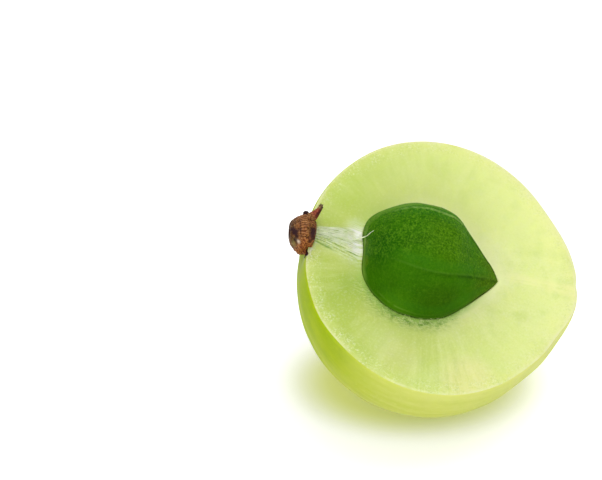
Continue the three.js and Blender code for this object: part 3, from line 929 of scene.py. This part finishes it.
# Sunken places: degrees round from the front, height, depth, and their half sizes in degrees and mm.
HOLLOWS = [
    (14, 2.5, 0.75, 15, 0.26),
    (3, 2.3, 1.0, 15, 0.34),
    (-9, 2.05, 0.8, 11, 0.26),
    (-28, 2.2, 0.8, 12, 0.26),
    (16, 0.42, 1.0, 32, 0.42),
    (118, 0.7, 0.8, 22, 0.3),
    (140, 2.2, 0.9, 18, 0.3),
    (-168, 0.8, 0.9, 20, 0.35),
    (-130, 2.2, 0.8, 22, 0.3),
    (-108, 0.7, 0.7, 18, 0.3),
    (-72, 2.3, 0.5, 16, 0.25),
]


def calyx_place(height, radius, angle):
    """A point from its height up the calyx and its radius and angle round it. Angle 0 is +Z."""
    y = CALYX_BASE[1] + radius * np.sin(angle)
    return np.stack([CALYX_BASE[0] - height, y, CALYX_BASE[2] + radius * np.cos(angle)], axis=-1)


def calyx_body():
    """(vertices and faces, CALYX_VALUES) of the shrivelled cup."""
    along = inner_steps(CALYX_ROWS)[:, None]
    angle = full_turn(CALYX_SIDES)[None] + 0 * along
    height, radius = np.moveaxis(spline(CALYX_PROFILE, along + 0 * angle), -1, 0)
    radius = np.maximum(radius, 0.0)
    raw = calyx_place(height, radius, angle)
    facing = wrapped(angle - CALYX_FRONT)
    on_side = rise(radius, 0.5, 1.3)

    hollow = 0.8 * bump(radius - 0.55, 0.3) * rise(height, 2.2, 2.5)
    ragged = 1 + 0.6 * rough(raw, 0.5)
    for degrees, centre, depth, half_angle, half_height in HOLLOWS:
        off = wrapped(facing - radians(degrees))
        off = np.hypot(off / radians(half_angle), (height - centre) / half_height)
        hollow = np.maximum(hollow, depth * bump(off * ragged, 1.0))

    belt = bump(height - 1.5, 0.62 + 0.4 * rise(facing, 0.2, 0.8)) * rise(facing, -0.35, 0.1)
    belt *= 1 - rise(facing, 1.5, 2.0)
    belt += bump(height - 1.4, 0.5) * rise(np.abs(facing), 1.8, 2.4)
    worn = 0.45 + 0.55 * rise(rough(raw, 0.7, 2), -0.25, 0.25)
    pleat = np.cos(PLEATS * angle + 2.5 * rough(raw, 1.4, 2)) * belt * worn
    seam = bump(height - 1.68 - 0.22 * np.sin(facing), 0.07)
    seam = seam * rise(facing, -0.4, 0.0) * (1 - rise(facing, 0.9, 1.5))
    folds = 0.10 * np.sin(5 * facing + 3.2 * height) * (1 - rise(facing, -0.5, 0.1))
    crumple = rough(raw, 1.1) * 0.17 + rough(raw, 0.35) * 0.09
    bulge = 0.14 * bump(facing - 0.5, 0.8) * bump(height - 1.4, 0.6)
    radius = radius + (0.045 * pleat - 0.36 * hollow - 0.13 * seam + folds + crumple + bulge) * on_side
    radius = radius * (1 - 0.05 * rise(-np.sin(facing), 0.3, 1.0) * on_side)
    radius = radius * (1 - 0.24 * rise(height, 1.1, 2.5) * bump(facing - 1.25, 1.0))
    height = height * (1 + 0.12 * np.sin(facing + 0.1) * rise(radius, 0.2, 1.6))
    rings = calyx_place(height, radius, angle)
    body = closed_grid(rings, CALYX_BASE, CALYX_BASE - [2.5, 0, 0])
    lobe = bump(facing + 0.85, 0.75) * bump(height - 0.95, 0.8)
    thin = bump(facing + 0.75, 0.45) * bump(height - 2.15, 0.25)
    # Of these values, the pleats' crests and grooves carry painted highlight and shade, the hollows
    # painted shade, and one small spot a painted highlight.
    values = {
        "hollow": (np.clip(hollow + 0.55 * seam, 0, 1), 1.0),
        "ridge": (np.clip(pleat, 0, 1), 0.0),
        "groove": (np.clip(-pleat, 0, 1), 0.0),
        "upper": (rise(facing, 0.5, 1.4) * on_side, 0.0),
        "amber": (np.clip(lobe * 1.3, 0, 1), 0.0),
        "thin": (thin, 0.0),
        "spark": (bump(np.hypot((facing + 0.4) / 0.08, (height - 1.76) / 0.15), 1.0), 0.0),
        "stalk_end": (rise(height, 2.05, 2.75), 1.0),
    }
    return body, {key: with_ends(of_rings, 0, last) for key, (of_rings, last) in values.items()}


# The long sepal that curls back over the cut face, from the middle of the calyx's foot.
HORN = np.array(
    [(-0.86, 1.3, 1.6), (-0.64, 1.51, 1.85), (-0.4, 1.87, 2.05), (-0.18, 2.26, 2.2), (-0.08, 2.6, 2.3)]
)
HORN_RADII = np.array([0.56, 0.48, 0.42, 0.40, 0.34])
HORN_STEPS, HORN_SIDES = 60, 36
# The side of the long sepal that is painted in shade.
HORN_SHADED_SIDE = np.array([0.83, -0.56, 0.0])
HORN_PRONGS = ((0.15, 0.22), (-0.15, 0.3))  # how far each tip turns aside, and its length
# The short dry sepals: degrees round from the front, height, inner and outer radius, thickness.
SHORT_SEPALS = [
    (84.0, 1.3, 1.8, 2.45, 0.6),
    (-50.0, 0.5, 1.9, 2.95, 0.22),
    (-66.0, 0.4, 1.3, 2.75, 0.26),
    (-150.0, 0.8, 1.6, 2.4, 0.34),
    (150.0, 0.9, 1.6, 2.5, 0.3),
]


def calyx_horn():
    """The parts of the long sepal, whose tip is split in two, as calyx_body gives its own."""
    t = np.linspace(0, 1, HORN_STEPS)
    path = CALYX_BASE + spline(HORN, t)

    def section(t, turn):
        flat = 1 - 0.42 * np.sin(turn) ** 2
        return flat * (1 + 0.16 * np.cos(4 * turn + 2) + 0.07 * np.cos(9 * turn + 6 * t))

    blade = tube(path, spline(HORN_RADII, t), HORN_SIDES, section, twist=1.9)
    out = unit(blade[0][1:-1].reshape(len(t), HORN_SIDES, 3) - path[:, None])
    # Painted shade on the sepal's side away from the light, carried in its tip value.
    shaded = rise(out @ unit(HORN_SHADED_SIDE), 0.0, 0.55)
    shaded = shaded * (0.25 + 0.6 * rise(t, 0.2, 0.45)[:, None])
    along = with_ends(np.repeat(t, HORN_SIDES), 0, 1)
    root, end = 1 - rise(along, 0.1, 0.4), rise(along, 0.6, 0.8)
    parts = [(blade, {"tip": with_ends(shaded, 0, 0.3), "red": 1, "root": root, "end": end})]
    lead = unit(path[-1] - path[-6])
    s = np.linspace(0, 1, 8)
    for sideways, length in HORN_PRONGS:
        points = path[-2] + np.outer(s * length, lead) + np.outer(s, [sideways, 0.0, 0.05])
        parts.append((tube(points, 0.15 * (1.1 - s), 8), {"tip": 0.6, "red": 1, "end": 1}))
    return parts


def build_calyx():
    parts = [calyx_body(), *calyx_horn()]
    t = np.linspace(0, 1, 12)
    for degrees, height, inner, outer, thick in SHORT_SEPALS:
        angle = CALYX_FRONT + radians(degrees)
        points = calyx_place(height + 0.2 * t**2, inner + (outer - inner) * t, angle + 0.12 * t)
        sepal = tube(points, thick * (1.0 - 0.5 * t), 12, lambda t, turn: 1 - 0.4 * np.sin(turn) ** 2)
        parts.append((sepal, {"tip": 1}))
    attributes = {
        key: np.concatenate([np.full(len(shape[0]), own.get(key, 0), float) for shape, own in parts])
        for key in CALYX_VALUES
    }
    shape = joined([shape for shape, _ in parts])
    return piece("calyx_fine", shape, [calyx_material()], attributes)


flesh = build_flesh()
stone = build_stone()
fibres = build_fibres()
calyx = build_calyx()
fuzz = build_fuzz()

for made, node, slot in (
    (flesh, "fruit_half", "flesh"),
    (stone, "stone", "stone"),
    (fibres, "fibre_strand", "fibre"),
    (calyx, "calyx", "calyx"),
):
    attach(made, "root")
    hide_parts(node)
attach(fuzz, "root")

# -------- floor, light and camera

# The patch of floor round the fruit that is painted green-yellow and darker, a painted glow and shade
# for the light that comes through the fruit, in metres: its middle, where it starts to fade and ends,
# and how much narrower it is from front to back.
GLOW_CENTRE, GLOW_FADE, GLOW_REACH, GLOW_SQUEEZE = (-0.0018, 0.0, 0.0), 0.008, 0.0152, 1.45
GLOW_AMOUNT = 0.95
FLOOR_PAINT, GLOW_PAINT = (240, 240, 240), (204, 202, 60)
# What lifts the floor to paper white: its colour off the glow and in it, and its strength up to
# LIFT_FROM from the glow's middle and beyond LIFT_TO. It is weaker near the fruit, which paints a shadow
# round it.
LIFT_PAINT, LIFT_GLOW_PAINT = (255, 255, 255), (218, 231, 151)
LIFT_NEAR, LIFT_FAR, LIFT_FROM, LIFT_TO = 0.42, 0.53, 0.010, 0.017


def floor_material():
    """White, with the fruit's own shadow, and round it a painted green glow and shade for the light that
    comes through the fruit. Seen directly or in a reflection, it is lifted to paper white, less near the
    fruit, which paints its shadow darker there."""
    n = new_nodes("floor")
    x, y = n.split(n.add("NewGeometry", output="Position"))[:2]
    from_spot = n.distance(n.combine(x, n.times(y, GLOW_SQUEEZE), 0.0), GLOW_CENTRE)
    glow = n.times(n.fall(from_spot, GLOW_FADE, GLOW_REACH), GLOW_AMOUNT)
    paper = n.add("BsdfDiffuse", {"Color": n.mix(glow, FLOOR_PAINT, GLOW_PAINT)})
    lift = n.between(n.rise(from_spot, LIFT_FROM, LIFT_TO), LIFT_NEAR, LIFT_FAR)
    lift = n.times(n.seen_directly(), lift)
    light = n.add("Emission", {"Color": n.mix(glow, LIFT_PAINT, LIFT_GLOW_PAINT), "Strength": lift})
    n.add("OutputMaterial", {"Surface": n.add("AddShader", {0: paper, 1: light})})
    return n.owner


FLOOR_HALF = 2.0
floor_mesh = bpy.data.meshes.new("floor")
corners = [(-1, -1), (1, -1), (1, 1), (-1, 1)]
floor_mesh.from_pydata([(x * FLOOR_HALF, y * FLOOR_HALF, 0.0) for x, y in corners], [], [(0, 1, 2, 3)])
floor_mesh.materials.append(floor_material())
added("floor", floor_mesh)

SKY_STRENGTH = 0.55
world = bpy.data.worlds.new("studio")
sky = Nodes(world)
strength = sky.add("MapRange", {"Value": sky.seen_directly(), "To Min": SKY_STRENGTH, "To Max": 1.0})
background = sky.add("Background", {"Color": (1, 1, 1, 1), "Strength": strength})
sky.add("OutputWorld", {"Surface": background})
bpy.context.scene.world = world

fruit_centre = Vector(SHIFT * MM)


def stand(name, data, azimuth, elevation, distance):
    """Adds a lamp or camera that faces the fruit's middle. Azimuth 0 is in front, at -Y, and 90 to the
    right, at +X."""
    a, e = radians(azimuth), radians(elevation)
    away = Vector((sin(a) * cos(e), -cos(a) * cos(e), sin(e)))
    made = added(name, data)
    made.location = fruit_centre + away * distance
    made.rotation_mode = "QUATERNION"
    made.rotation_quaternion = (-away).to_track_quat("-Z", "Y")
    return made


def softbox(name, azimuth, elevation, distance, size, power):
    lamp = bpy.data.lights.new(name, "AREA")
    lamp.shape, lamp.size, lamp.energy = "SQUARE", size, power
    stand(name, lamp, azimuth, elevation, distance)


softbox("key", 110, 76, 0.5, 0.34, 1.15)
softbox("fill", -15, 14, 0.5, 0.40, 0.60)

CAMERA_AZIMUTH, CAMERA_ELEVATION, CAMERA_DISTANCE = 1.13, 40.0, 0.42
FOCAL_LENGTH, SENSOR_WIDTH = 234.42, 36.0  # mm
OFF_RIGHT, OFF_DOWN = 1.9987, 0.4896  # degrees from the view's middle to the fruit's middle

lens = bpy.data.cameras.new("camera")
lens.sensor_width, lens.lens = SENSOR_WIDTH, FOCAL_LENGTH
lens.clip_start, lens.clip_end = 0.01, 10.0
camera = stand("camera", lens, CAMERA_AZIMUTH, CAMERA_ELEVATION, CAMERA_DISTANCE)
to_centre = Vector((tan(radians(OFF_RIGHT)), -tan(radians(OFF_DOWN)), -1.0))
aside = to_centre.rotation_difference(Vector((0, 0, -1)))
camera.rotation_quaternion = camera.rotation_quaternion @ aside
bpy.context.scene.camera = camera
bpy.context.scene.view_settings.view_transform = "Standard"
